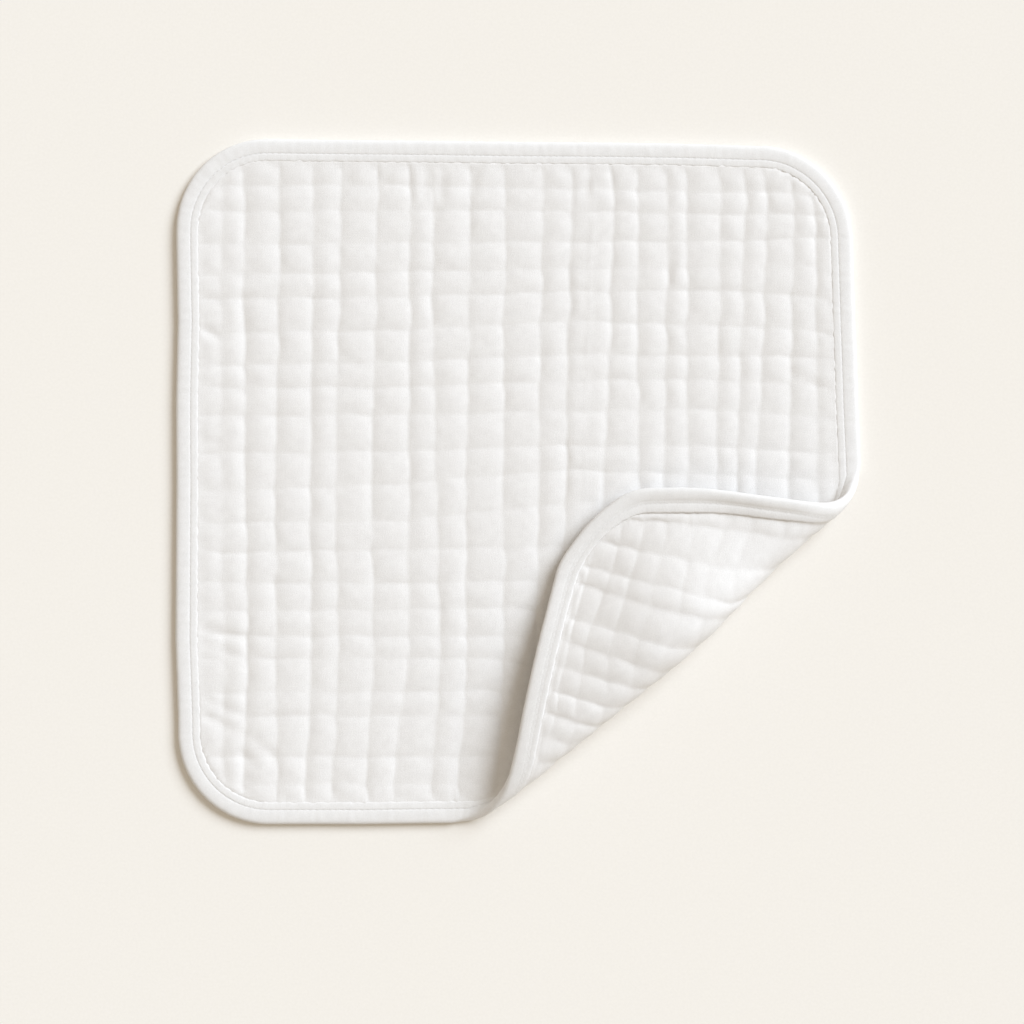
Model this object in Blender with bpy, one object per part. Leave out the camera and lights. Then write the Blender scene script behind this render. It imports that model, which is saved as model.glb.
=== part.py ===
"""Burp cloth: a quilted muslin square with a bound edge, one corner turned back over it.

Both pieces are first made flat, as a maker cuts them, and are then laid on the surface by
one rule, lay(), that gives the cloth its slightly uneven outline and its soft fold.
"""
import math

import bmesh
import bpy

MM = 0.001

# The cut cloth
SIDE = 300 * MM
HALF = SIDE / 2
CORNER_RADIUS = 40 * MM
CORE = HALF - CORNER_RADIUS
CORNER_STEPS = 10

# The edge binding: a tape folded over the edge, one leg on each face
BINDING_WIDTH = 9.5 * MM
BINDING_HEIGHT = 3.8 * MM
BINDING_CLOTH = 0.7 * MM
BINDING_BACK_WALL = 1.2 * MM
STITCH_INSET = 6.0 * MM
STITCH_DIP = 0.45 * MM
CLOSE_SPACING = 3.0 * MM
WIDE_SPACING = 11 * MM

# The quilted muslin: sewn-down channels with a puff between them
CREST_HEIGHT = 3.9 * MM
COLUMN_CHANNEL_HEIGHT = 2.7 * MM
ROW_CHANNEL_HEIGHT = 3.0 * MM
CROSSING_HEIGHT = 2.2 * MM
BACK_RELIEF = 1.1 * MM
PUFF_VARIETY = 0.25 * MM

# Where the mesh is finer, because the cloth bends there
ROLL_MARGIN = 4 * MM
ROLL_STRETCH = 40 * MM
LONGEST_BENT_RIM = 2.2 * MM

# The hem of the muslin inside the binding, from the puffs outwards
SEAM_INSET = 10.6 * MM
SEAM_HEIGHT = 2.4 * MM
HEM_INSETS = (9.95 * MM, 5.8 * MM, 2.0 * MM)
HEM_BOTTOM = 1.5 * MM
HEM_TOP = 2.3 * MM

# Quilting columns from the left edge: width of the puff, and how far its right channel
# has drifted sideways at the lower edge, in millimetres
COLUMNS = (
    # width, drift
    (9.7, 0.5),
    (10.1, 0.6),
    (14.6, -0.6),
    (15.4, -0.8),
    (12.8, -1.8),
    (15.4, -2.6),
    (14.1, -4.0),
    (9.7, -2.2),
    (17.6, -3.6),
    (15.4, -3.0),
    (16.3, -2.6),
    (13.2, -2.0),
    (18.1, -1.2),
    (11.0, -0.8),
    (13.7, -0.4),
    (8.8, 0.0),
    (13.7, 0.4),
    (10.6, 0.6),
    (10.1, 0.8),
    (11.5, 0.8),
    (9.7, 0.8),
    (8.8, 0.8),
)

# Quilting rows from the top edge: height of the puff, and how far its lower channel
# has risen at the right edge, in millimetres
ROWS = (
    # height, rise
    (10.6, -2.6),
    (11.0, -1.8),
    (13.2, -0.4),
    (13.7, 2.0),
    (11.9, 4.0),
    (13.2, 3.0),
    (13.7, 3.0),
    (11.5, 3.0),
    (12.8, 2.4),
    (15.0, 2.0),
    (18.1, 1.4),
    (15.0, 1.0),
    (12.3, 0.6),
    (13.7, 0.4),
    (11.9, 0.0),
    (10.6, 0.0),
    (10.6, 0.0),
    (14.6, 0.0),
    (10.6, 0.0),
    (18.1, 0.0),
    (11.9, 0.0),
    (7.5, 0.0),
)
QUILT_EDGE_INSET = 9.5 * MM
SPARE_PUFFS = 2
SPARE_PUFF_WIDTH = 11 * MM
FLAP_QUILT_TURN = math.radians(7)

# How far each corner of the cloth lies from the true square, in millimetres
UNEVEN_CORNERS = (
    # side along x, side along y, shift in x, shift in y
    (-1, 1, -0.15, 0.75),
    (1, 1, -2.95, -2.35),
    (-1, -1, -0.15, -0.15),
    (1, -1, 3.85, 0.25),
)
EDGE_WAVE = 0.5 * MM

# The fold: its right end on the cloth's edge, and the direction in which it runs
FOLD_START = (149.65 * MM, -2.35 * MM)
FOLD_ANGLE = math.radians(41.45)
ALONG = (-math.cos(FOLD_ANGLE), -math.sin(FOLD_ANGLE))
OUTWARD = (math.sin(FOLD_ANGLE), -math.cos(FOLD_ANGLE))
FOLD_MIDDLE = 108 * MM
SECTION_STEPS = 40
FALL_FROM = 0.72
FALL_OVER = 0.75
SETTLE_FROM = 76 * MM
SETTLE_OVER = 26 * MM
SETTLE_SHARE = 0.7
LIP_WIDTH = 13 * MM

# Sections across the fold, from its right end to its left end
FOLD_SECTIONS = (
    # place along the fold mm, line where the cloth lifts mm, roll radius mm,
    # fall of the flap degrees, raised lip mm
    (-30, -7.3, 6.6, 3, 0.0),
    (0, -7.3, 7.4, 3, 0.6),
    (17, -7.4, 9.8, 5, 1.8),
    (35, -7.6, 10.2, 7, 2.4),
    (52, -7.8, 10.4, 9, 2.0),
    (65, -8.0, 11.4, 12, 1.4),
    (78, -8.3, 12.7, 16, 0.6),
    (92, -8.5, 13.8, 20, 0.0),
    (110, -8.5, 14.0, 22, 0.0),
    (126, -8.4, 13.1, 19, 0.0),
    (150, -8.1, 11.8, 13, 0.0),
    (172, -8.0, 10.8, 9, 0.0),
    (190, -7.8, 10.0, 7, 0.0),
    (203, -7.6, 9.0, 5, 0.0),
    (218, -7.6, 7.5, 3, 0.0),
    (260, -7.6, 7.5, 3, 0.0),
)

MUSLIN_WHITE = (0.86, 0.845, 0.82, 1.0)
BINDING_WHITE = (0.87, 0.855, 0.835, 1.0)


def clear_scene():
    for thing in list(bpy.data.objects):
        bpy.data.objects.remove(thing, do_unlink=True)


def ease(value):
    """Rise from 0 to 1 with no kink at either end."""
    value = min(max(value, 0.0), 1.0)
    return value * value * (3 - 2 * value)


def read_section(place):
    """Lift line, radius, fall and lip at a place along the fold, smoothed between the rows."""
    rows = FOLD_SECTIONS
    at = place / MM
    last = len(rows) - 1
    k = 0
    while k < last - 1 and at > rows[k + 1][0]:
        k += 1
    before, start, end, after = rows[max(k - 1, 0)], rows[k], rows[k + 1], rows[min(k + 2, last)]
    span = end[0] - start[0]
    u = min(max((at - start[0]) / span, 0.0), 1.0)
    values = []
    for column in (1, 2, 3, 4):
        leave = (end[column] - before[column]) / max(end[0] - before[0], span) * span
        arrive = (after[column] - start[column]) / max(after[0] - start[0], span) * span
        values.append(
            (2 * u**3 - 3 * u**2 + 1) * start[column]
            + (u**3 - 2 * u**2 + u) * leave
            + (3 * u**2 - 2 * u**3) * end[column]
            + (u**3 - u**2) * arrive
        )
    lift, radius, fall, lip = values
    return lift * MM, radius * MM, math.radians(fall), lip * MM


def heading(run, radius, fall):
    """Direction of the cloth, as an angle, after it has run some way past the lift line."""
    half_turn = math.pi * radius
    turned = math.pi * min(run / half_turn, 1.0)
    falling = ease((run / half_turn - FALL_FROM) / FALL_OVER)
    settling = 1 - SETTLE_SHARE * ease((run - SETTLE_FROM) / SETTLE_OVER)
    return turned + fall * falling * settling


def fold_section(run, radius, fall):
    """Walk along the bent cloth: how far outward and how high it has come, and its heading."""
    step = run / SECTION_STEPS
    outward = 0.0
    height = 0.0
    for k in range(SECTION_STEPS):
        angle = heading((k + 0.5) * step, radius, fall)
        outward += step * math.cos(angle)
        height += step * math.sin(angle)
    return outward, height, heading(run, radius, fall)


def fold_place(x, y):
    """Place of a flat point along the fold, and how far it lies past the lift line."""
    from_start = (x - FOLD_START[0], y - FOLD_START[1])
    along = from_start[0] * ALONG[0] + from_start[1] * ALONG[1]
    outward = from_start[0] * OUTWARD[0] + from_start[1] * OUTWARD[1]
    return along, outward - read_section(along)[0]


def edge_frame(x, y):
    """Point of the core square nearest to a point, and the direction from it to the edge."""
    core_x = min(max(x, -CORE), CORE)
    core_y = min(max(y, -CORE), CORE)
    away = (x - core_x, y - core_y)
    length = math.hypot(*away)
    if length < 1e-9:
        return (core_x, core_y), (0.0, 0.0), 0.0
    return (core_x, core_y), (away[0] / length, away[1] / length), length


def at_inset(x, y, inset):
    """Move a point straight in or out, until it lies a given distance inside the cut edge."""
    core, away, _ = edge_frame(x, y)
    reach = CORNER_RADIUS - inset
    return core[0] + away[0] * reach, core[1] + away[1] * reach


def unevenness(x, y):
    """Shift of a flat point, because the cloth isn't a true square and its edges waver."""
    u = x / HALF
    v = y / HALF
    shift_x = 0.0
    shift_y = 0.0
    for side_x, side_y, by_x, by_y in UNEVEN_CORNERS:
        share = (1 + side_x * u) * (1 + side_y * v) / 4
        shift_x += share * by_x * MM
        shift_y += share * by_y * MM
    shift_x += EDGE_WAVE * math.sin(3.1 * v + 0.9) * u
    shift_y += EDGE_WAVE * math.sin(2.9 * u + 0.3) * v
    return shift_x, shift_y


def lay(x, y, height):
    """Lay a point of the flat cloth on the surface, or up and over in the fold."""
    _, _, reach = edge_frame(x, y)
    inset = CORNER_RADIUS - reach
    shift_x, shift_y = unevenness(x, y)
    x += shift_x
    y += shift_y
    along, run = fold_place(x, y)
    if run <= 0:
        return x, y, height
    lift, radius, fall, lip = read_section(along)
    outward, rise, angle = fold_section(run, radius, fall)
    height -= lip * (1 - ease(inset / LIP_WIDTH)) * ease(run / radius - 1)
    outward += lift - height * math.sin(angle)
    return (
        FOLD_START[0] + along * ALONG[0] + outward * OUTWARD[0],
        FOLD_START[1] + along * ALONG[1] + outward * OUTWARD[1],
        rise + height * math.cos(angle),
    )


def quilt_lines(table):
    """Channels and crests across the quilting: place, drift, whether it is a crest, puff number."""
    spare = [(SPARE_PUFF_WIDTH / MM, 0.0)] * SPARE_PUFFS
    puffs = spare + list(table) + spare
    place = -HALF + QUILT_EDGE_INSET - SPARE_PUFFS * SPARE_PUFF_WIDTH
    drift = 0.0
    lines = [(place, drift, False, 0)]
    for number, (width, next_drift) in enumerate(puffs):
        middle = place + width * MM / 2
        lines.append((middle, (drift + next_drift * MM) / 2, True, number))
        place += width * MM
        drift = next_drift * MM
        lines.append((place, drift, False, number))
    return lines


def turn_flap_quilting(x, y):
    """Turn the quilting a little beyond the fold, where the cloth has been pulled askew."""
    _, run = fold_place(x, y)
    angle = FLAP_QUILT_TURN * ease(run / (SIDE / 6))
    pivot_x = FOLD_START[0] + ALONG[0] * FOLD_MIDDLE
    pivot_y = FOLD_START[1] + ALONG[1] * FOLD_MIDDLE
    from_x = x - pivot_x
    from_y = y - pivot_y
    return (
        pivot_x + from_x * math.cos(angle) - from_y * math.sin(angle),
        pivot_y + from_x * math.sin(angle) + from_y * math.cos(angle),
    )


def puff_height(column, row):
    """Height of the upper face where a column line meets a row line."""
    variety = PUFF_VARIETY * math.sin(1.7 * column[3] + 2.6 * row[3])
    if column[2] and row[2]:
        return CREST_HEIGHT - PUFF_VARIETY + variety
    if row[2]:
        return COLUMN_CHANNEL_HEIGHT + variety / 2
    if column[2]:
        return ROW_CHANNEL_HEIGHT + variety / 2
    return CROSSING_HEIGHT


def quilted_sheet(bm):
    """The upper face of the muslin, flat: a grid whose lines are the channels and crests."""
    columns = quilt_lines(COLUMNS)
    rows = quilt_lines(ROWS)
    across = len(columns) - 1
    down = len(rows) - 1
    bmesh.ops.create_grid(bm, x_segments=across, y_segments=down, size=1.0)
    crest_lines = bm.edges.layers.int.new("crest_line")
    grid_place = {}
    for vert in bm.verts:
        i = round((vert.co.x + 1) / 2 * across)
        j = round((1 - vert.co.y) / 2 * down)
        grid_place[vert] = (i, j)
    for edge in bm.edges:
        (i, j), (k, m) = (grid_place[vert] for vert in edge.verts)
        on_crest = columns[i][2] if i == k else rows[j][2]
        edge[crest_lines] = int(on_crest)
        edge.smooth = on_crest
    for vert, (i, j) in grid_place.items():
        column = columns[i]
        row = rows[j]
        down_share = 0.5 + row[0] / SIDE
        across_share = 0.5 + column[0] / SIDE
        x = column[0] + column[1] * ease(down_share * 1.4 - 0.4)
        y = -row[0] + row[1] * ease(across_share)
        x, y = turn_flap_quilting(x, y)
        vert.co = (x, y, puff_height(column, row))


def cut_to_outline(bm, inset):
    """Trim the sheet to the rounded square, with one straight cut for each step round a corner."""
    steps = 4 * CORNER_STEPS
    reach = CORNER_RADIUS - inset
    for k in range(steps):
        angle = 2 * math.pi * k / steps
        outward = (math.cos(angle), math.sin(angle))
        corner = (math.copysign(CORE, outward[0] + 1e-6), math.copysign(CORE, outward[1] + 1e-6))
        bmesh.ops.bisect_plane(
            bm,
            geom=bm.verts[:] + bm.edges[:] + bm.faces[:],
            dist=1e-6,
            plane_co=(corner[0] + outward[0] * reach, corner[1] + outward[1] * reach, 0),
            plane_no=(outward[0], outward[1], 0),
            clear_outer=True,
        )


def tidy_cut_edge(bm):
    """Sew the cut edge down to the seam's height and join points that nearly meet."""
    for edge in bm.edges:
        if edge.is_boundary:
            for vert in edge.verts:
                vert.co.z = SEAM_HEIGHT
    bmesh.ops.remove_doubles(bm, verts=bm.verts[:], dist=1.2 * MM)


def in_roll(vert):
    """Whether a point of the flat sheet ends up in the bent stretch of the fold."""
    _, run = fold_place(vert.co.x, vert.co.y)
    return -ROLL_MARGIN < run < ROLL_STRETCH


def refine_roll(bm):
    """Halve the mesh where the cloth bends round the fold, and its edge there once more."""
    bent = [edge for edge in bm.edges if all(in_roll(vert) for vert in edge.verts)]
    bmesh.ops.subdivide_edges(bm, edges=bent, cuts=1, use_grid_fill=True)
    long_rim = [
        edge
        for edge in bm.edges
        if edge.is_boundary
        and any(in_roll(vert) for vert in edge.verts)
        and edge.calc_length() > LONGEST_BENT_RIM
    ]
    bmesh.ops.subdivide_edges(bm, edges=long_rim, cuts=1)


def add_hem(bm):
    """Run the muslin on into the binding, in rings that follow the cut edge."""
    for inset in HEM_INSETS:
        rim = [edge for edge in bm.edges if edge.is_boundary]
        made = bmesh.ops.extrude_edge_only(bm, edges=rim)["geom"]
        for vert in (item for item in made if isinstance(item, bmesh.types.BMVert)):
            x, y = at_inset(vert.co.x, vert.co.y, inset)
            vert.co = (x, y, HEM_TOP)


def underside_height(vert):
    """Height of the lower face below a point of the upper face."""
    _, _, reach = edge_frame(vert.co.x, vert.co.y)
    inset = CORNER_RADIUS - reach
    if reach > 0 and inset < (SEAM_INSET + HEM_INSETS[0]) / 2:
        return HEM_BOTTOM
    _, run = fold_place(vert.co.x, vert.co.y)
    fullness = (vert.co.z - CROSSING_HEIGHT) / (CREST_HEIGHT - CROSSING_HEIGHT)
    return BACK_RELIEF * (1 - min(max(fullness, 0.0), 1.0)) * ease(run / (SIDE / 20))


def add_underside(bm):
    """Copy the sheet for the lower face, turn it over and close the wall round the edge."""
    crest_lines = bm.edges.layers.int["crest_line"]
    rim = [edge for edge in bm.edges if edge.is_boundary]
    copied = bmesh.ops.duplicate(bm, geom=bm.verts[:] + bm.edges[:] + bm.faces[:])
    lower = copied["geom"]
    lower_faces = [item for item in lower if isinstance(item, bmesh.types.BMFace)]
    lower_edges = [item for item in lower if isinstance(item, bmesh.types.BMEdge)]
    lower_rim = [edge for edge in lower_edges if edge.is_boundary]
    for vert in (item for item in lower if isinstance(item, bmesh.types.BMVert)):
        vert.co.z = underside_height(vert)
    bmesh.ops.reverse_faces(bm, faces=lower_faces)
    bmesh.ops.bridge_loops(bm, edges=rim + lower_rim)
    resting = [
        edge
        for edge in lower_edges
        if edge[crest_lines]
        and all(abs(vert.co.z) < 1e-7 for face in edge.link_faces for vert in face.verts)
        and all(fold_place(*vert.co.xy)[1] < -SPARE_PUFF_WIDTH / 2 for vert in edge.verts)
    ]
    bmesh.ops.dissolve_edges(bm, edges=resting, use_verts=True)


def lay_mesh(bm):
    for vert in bm.verts:
        vert.co = lay(*vert.co)


def finish_object(bm, name, material):
    bmesh.ops.recalc_face_normals(bm, faces=bm.faces[:])
    for face in bm.faces:
        face.smooth = True
    mesh = bpy.data.meshes.new(name)
    bm.to_mesh(mesh)
    bm.free()
    mesh.materials.append(material)
    piece = bpy.data.objects.new(name, mesh)
    bpy.context.scene.collection.objects.link(piece)
    return piece


def make_panel(material):
    bm = bmesh.new()
    quilted_sheet(bm)
    cut_to_outline(bm, SEAM_INSET)
    tidy_cut_edge(bm)
    refine_roll(bm)
    add_hem(bm)
    add_underside(bm)
    lay_mesh(bm)
    return finish_object(bm, "panel", material)


def binding_profile():
    """Section of the binding: inset from the cut edge and height, once round the outline."""
    top = BINDING_HEIGHT
    leg = BINDING_CLOTH
    crease = top / 2
    upper = [
        (BINDING_WIDTH, top - leg - 0.1 * MM),
        (BINDING_WIDTH, top - 0.45 * MM),
        (8.6 * MM, top - 0.1 * MM),
        (STITCH_INSET + 0.9 * MM, top - 0.1 * MM),
        (STITCH_INSET, top - STITCH_DIP),
        (STITCH_INSET - 0.9 * MM, top),
        (2.0 * MM, top),
        (0.6 * MM, top - 0.6 * MM),
    ]
    outer_edge = [(0.0, crease + 0.5 * MM), (0.0, crease - 0.5 * MM)]
    lower = [
        (0.6 * MM, 0.5 * MM),
        (1.6 * MM, 0.0),
        (STITCH_INSET, 0.0),
        (BINDING_WIDTH, 0.0),
        (BINDING_WIDTH, leg + 0.1 * MM),
    ]
    inner_wall = [
        (STITCH_INSET, leg + 0.1 * MM),
        (BINDING_BACK_WALL, leg + 0.3 * MM),
        (BINDING_BACK_WALL, top - leg - 0.3 * MM),
        (STITCH_INSET, top - leg - 0.1 * MM),
    ]
    return upper + outer_edge + lower + inner_wall


def side_stations(start, end, outward):
    """Stations along one straight side, close together where the side bends round the fold."""
    length = math.dist(start, end)
    stations = []
    walked = 0.0
    while walked < length:
        share = walked / length
        x = start[0] + (end[0] - start[0]) * share
        y = start[1] + (end[1] - start[1]) * share
        _, run = fold_place(x + outward[0] * CORNER_RADIUS, y + outward[1] * CORNER_RADIUS)
        bends = -3 * CLOSE_SPACING < run < SIDE / 6
        stations.append((x, y))
        walked += CLOSE_SPACING if bends else WIDE_SPACING
    spare = walked - length
    if spare > 0 and len(stations) > 1 and math.dist(stations[-1], end) < CLOSE_SPACING / 2:
        stations.pop()
    return stations


def edge_stations():
    """Points just outside the core square, once round it, each with its direction to the edge."""
    corners = [(CORE, CORE), (-CORE, CORE), (-CORE, -CORE), (CORE, -CORE)]
    stations = []
    for k, corner in enumerate(corners):
        for step in range(CORNER_STEPS + 1):
            angle = math.pi / 2 * (k + step / CORNER_STEPS)
            stations.append((corner, (math.cos(angle), math.sin(angle))))
        after = corners[(k + 1) % 4]
        angle = math.pi / 2 * (k + 1)
        outward = (math.cos(angle), math.sin(angle))
        for place in side_stations(corner, after, outward)[1:]:
            stations.append((place, outward))
    return stations


def make_binding(material):
    profile = binding_profile()
    stations = edge_stations()
    around = len(profile)
    along = len(stations)
    bm = bmesh.new()
    bmesh.ops.create_grid(bm, x_segments=along, y_segments=around, size=1.0)
    for vert in bm.verts:
        i = round((vert.co.x + 1) / 2 * along) % along
        j = round((vert.co.y + 1) / 2 * around) % around
        core, outward = stations[i]
        inset, height = profile[j]
        reach = CORNER_RADIUS - inset
        vert.co = (core[0] + outward[0] * reach, core[1] + outward[1] * reach, height)
    bmesh.ops.remove_doubles(bm, verts=bm.verts[:], dist=0.01 * MM)
    lay_mesh(bm)
    return finish_object(bm, "binding", material)


def cotton(name, colour, roughness):
    material = bpy.data.materials.new(name)
    material.use_nodes = True
    shader = material.node_tree.nodes["Principled BSDF"]
    shader.inputs["Base Color"].default_value = colour
    shader.inputs["Roughness"].default_value = roughness
    shader.inputs["Metallic"].default_value = 0.0
    return material


def main():
    clear_scene()
    make_panel(cotton("muslin", MUSLIN_WHITE, 0.95))
    make_binding(cotton("binding_tape", BINDING_WHITE, 0.9))


main()
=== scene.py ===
# %% [markdown]
# # A quilted muslin burp cloth
# The real thing is one square of crinkled cotton gauze, caught together in an uneven grid
# of small puffs, with a cotton tape folded over its edge and sewn down. One corner is
# turned back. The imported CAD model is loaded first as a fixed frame: it gives the sizes
# and the place of every piece, and the cloth below is laid by the same rule as its solids.

# %% Load the frame
import math

import bmesh
import bpy
import numpy as np
from mathutils import Matrix, Vector


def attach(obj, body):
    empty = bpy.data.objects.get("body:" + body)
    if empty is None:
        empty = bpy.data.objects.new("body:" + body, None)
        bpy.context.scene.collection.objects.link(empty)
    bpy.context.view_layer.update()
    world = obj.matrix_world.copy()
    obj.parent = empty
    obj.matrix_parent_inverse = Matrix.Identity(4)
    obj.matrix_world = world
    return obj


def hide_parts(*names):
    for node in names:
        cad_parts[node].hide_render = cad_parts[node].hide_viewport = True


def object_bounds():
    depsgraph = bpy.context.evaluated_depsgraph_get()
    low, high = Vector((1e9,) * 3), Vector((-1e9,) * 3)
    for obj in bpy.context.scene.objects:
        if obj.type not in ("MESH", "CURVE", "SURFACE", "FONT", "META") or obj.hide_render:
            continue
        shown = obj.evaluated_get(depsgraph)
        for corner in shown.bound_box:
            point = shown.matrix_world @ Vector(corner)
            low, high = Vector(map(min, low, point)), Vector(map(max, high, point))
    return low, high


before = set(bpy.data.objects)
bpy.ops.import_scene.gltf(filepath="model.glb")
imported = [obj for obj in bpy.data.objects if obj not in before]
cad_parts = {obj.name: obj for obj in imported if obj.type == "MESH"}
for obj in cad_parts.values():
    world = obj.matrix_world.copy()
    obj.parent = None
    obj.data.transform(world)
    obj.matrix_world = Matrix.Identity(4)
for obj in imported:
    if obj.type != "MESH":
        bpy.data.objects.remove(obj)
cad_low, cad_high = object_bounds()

MM = 0.001
cad_size = [round((b - a) / MM, 1) for a, b in zip(cad_low, cad_high)]
print("frame:", sorted(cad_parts), "size in mm:", cad_size)

# %% [markdown]
# ## The cut cloth
# A cloth is easiest to draw flat, as it lies on the cutting table, and to bend afterwards.
# Every point of it is known by its place on the flat square. These helpers tell how far in
# from the cut edge a point lies, and how far along the outline, for stitches and puckers.

# %% The flat square and its edge
SIDE = 300 * MM
HALF = SIDE / 2
CORNER_RADIUS = 40 * MM
CORE = HALF - CORNER_RADIUS
CORNER_TURN = CORNER_RADIUS * math.pi / 2
OUTLINE_LENGTH = 8 * CORE + 4 * CORNER_TURN


def ease(value):
    """Rise from 0 to 1 with no kink at either end."""
    value = np.clip(value, 0.0, 1.0)
    return value * value * (3 - 2 * value)


def edge_frame(x, y):
    """Nearest point of the core square, the direction from it to the edge, and the distance."""
    core_x = np.clip(x, -CORE, CORE)
    core_y = np.clip(y, -CORE, CORE)
    away_x = x - core_x
    away_y = y - core_y
    reach = np.hypot(away_x, away_y)
    length = np.maximum(reach, 1e-9)
    return core_x, core_y, away_x / length, away_y / length, reach


def inset_of(x, y):
    """How far inside the cut edge a flat point lies."""
    return CORNER_RADIUS - edge_frame(x, y)[4]


def outline_place(x, y):
    """How far along the outline, anticlockwise from the lower right, a point's edge lies."""
    core_x, core_y, away_x, away_y, _ = edge_frame(x, y)
    angle = np.arctan2(away_y, away_x) % (2 * math.pi)
    walked = np.select(
        [core_y >= CORE, core_x <= -CORE, core_y <= -CORE],
        [3 * CORE - core_x, 5 * CORE - core_y, 7 * CORE + core_x],
        CORE + core_y,
    )
    return walked + CORNER_RADIUS * angle


def outline_point(place):
    """Core point and direction to the edge at a place along the outline."""
    stops = np.cumsum([0] + [2 * CORE, CORNER_TURN] * 4)
    core_x = np.interp(place, stops, np.array([1, 1, 1, -1, -1, -1, -1, 1, 1]) * CORE)
    core_y = np.interp(place, stops, np.array([-1, 1, 1, 1, 1, -1, -1, -1, -1]) * CORE)
    angle = np.interp(place, stops, np.array([0, 0, 1, 1, 2, 2, 3, 3, 4]) * math.pi / 2)
    return core_x, core_y, np.cos(angle), np.sin(angle)


# %% [markdown]
# ## How the cloth lies
# The cloth isn't a true square, and its lower right corner is turned back in a soft roll.
# A cloth simulation could find such a roll, but it would not be the roll of this cloth, and
# it stretches the quilting. Here the fold is a table of sections, as a pattern maker would
# note it, and each flat point walks round its own section by its true length, so nothing
# stretches. The table and the rule are those of the CAD source; only the drift of the four
# edges, a millimetre or so, is added here.

# %% Unevenness of the outline
UNEVEN_CORNERS = (
    # side along x, side along y, shift in x mm, shift in y mm
    (-1, 1, -0.15, 0.75),
    (1, 1, -2.95, -2.35),
    (-1, -1, -0.15, -0.15),
    (1, -1, 3.85, 0.25),
)
EDGE_WAVE = 0.5 * MM
SIDE_WAVE = (3.1, 0.9)  # radians from the middle to a corner, and at the middle
END_WAVE = (2.9, 0.3)
DRIFT_AT = (-105, -70, -35, 0, 35, 70, 105)
LEFT_DRIFT = (-0.3, -1.3, -0.75, -0.2, -0.25, 0.35, -0.6)
RIGHT_DRIFT = (0.0, 0.0, 0.0, 0.0, -0.8, -1.1, -1.1)
BOTTOM_DRIFT = (-1.3, -1.3, -0.6, 0.0, 0.0, 0.0, 0.0)
TOP_DRIFT = (1.0, 0.9, 0.7, 0.2, 0.05, -0.1, -0.6)


def edge_drift(table, along, outward):
    """Shift of one edge, read at places in mm along it, fading towards the middle."""
    return np.interp(along / MM, DRIFT_AT, table) * MM * ease(2 * outward / HALF - 1)


def unevenness(x, y):
    """Shift of a flat point, because the cloth isn't a true square and its edges waver."""
    u = x / HALF
    v = y / HALF
    shift_x = EDGE_WAVE * np.sin(SIDE_WAVE[0] * v + SIDE_WAVE[1]) * u
    shift_y = EDGE_WAVE * np.sin(END_WAVE[0] * u + END_WAVE[1]) * v
    for side_x, side_y, by_x, by_y in UNEVEN_CORNERS:
        share = (1 + side_x * u) * (1 + side_y * v) / 4
        shift_x = shift_x + share * by_x * MM
        shift_y = shift_y + share * by_y * MM
    shift_x = shift_x + edge_drift(LEFT_DRIFT, y, -x) + edge_drift(RIGHT_DRIFT, y, x)
    shift_y = shift_y + edge_drift(BOTTOM_DRIFT, x, -y) + edge_drift(TOP_DRIFT, x, y)
    return shift_x, shift_y


# %% The fold, section by section
FOLD_START = (149.65 * MM, -2.35 * MM)
FOLD_ANGLE = math.radians(41.45)
ALONG = (-math.cos(FOLD_ANGLE), -math.sin(FOLD_ANGLE))
OUTWARD = (math.sin(FOLD_ANGLE), -math.cos(FOLD_ANGLE))
SECTION_STEPS = 40
FALL_FROM = 0.72
FALL_OVER = 0.75
SETTLE_FROM = 76 * MM
SETTLE_OVER = 26 * MM
SETTLE_SHARE = 0.7
LIP_WIDTH = 13 * MM
FOLD_SECTIONS = (
    # place along the fold mm, line where the cloth lifts mm, roll radius mm,
    # fall of the flap degrees, raised lip mm
    (-30, -7.3, 6.6, 3, 0.0),
    (0, -7.3, 7.4, 3, 0.6),
    (17, -7.4, 9.8, 5, 1.8),
    (35, -7.6, 10.2, 7, 2.4),
    (52, -7.8, 10.4, 9, 2.0),
    (65, -8.0, 11.4, 12, 1.4),
    (78, -8.3, 12.7, 16, 0.6),
    (92, -8.5, 13.8, 20, 0.0),
    (110, -8.5, 14.0, 22, 0.0),
    (126, -8.4, 13.1, 19, 0.0),
    (150, -8.1, 11.8, 13, 0.0),
    (172, -8.0, 10.8, 9, 0.0),
    (190, -7.8, 10.0, 7, 0.0),
    (203, -7.6, 9.0, 5, 0.0),
    (218, -7.6, 7.5, 3, 0.0),
    (260, -7.6, 7.5, 3, 0.0),
)


def read_section(place):
    """Lift line, radius, fall and lip at places along the fold, smoothed between the rows."""
    rows = np.array(FOLD_SECTIONS)
    last = len(rows) - 1
    at = place / MM
    k = np.clip(np.searchsorted(rows[:, 0], at) - 1, 0, last - 1)
    before, start = rows[np.maximum(k - 1, 0)], rows[k]
    end, after = rows[k + 1], rows[np.minimum(k + 2, last)]
    span = (end - start)[:, :1]
    u = np.clip((at[:, None] - start[:, :1]) / span, 0, 1)
    leave = (end - before) / np.maximum((end - before)[:, :1], span) * span
    arrive = (after - start) / np.maximum((after - start)[:, :1], span) * span
    values = (
        (2 * u**3 - 3 * u**2 + 1) * start
        + (u**3 - 2 * u**2 + u) * leave
        + (3 * u**2 - 2 * u**3) * end
        + (u**3 - u**2) * arrive
    )
    return values[:, 1] * MM, values[:, 2] * MM, np.radians(values[:, 3]), values[:, 4] * MM


def fold_place(x, y):
    """Place of flat points along the fold, and how far they lie past the lift line."""
    from_x = x - FOLD_START[0]
    from_y = y - FOLD_START[1]
    along = from_x * ALONG[0] + from_y * ALONG[1]
    outward = from_x * OUTWARD[0] + from_y * OUTWARD[1]
    return along, outward - read_section(along)[0]


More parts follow.
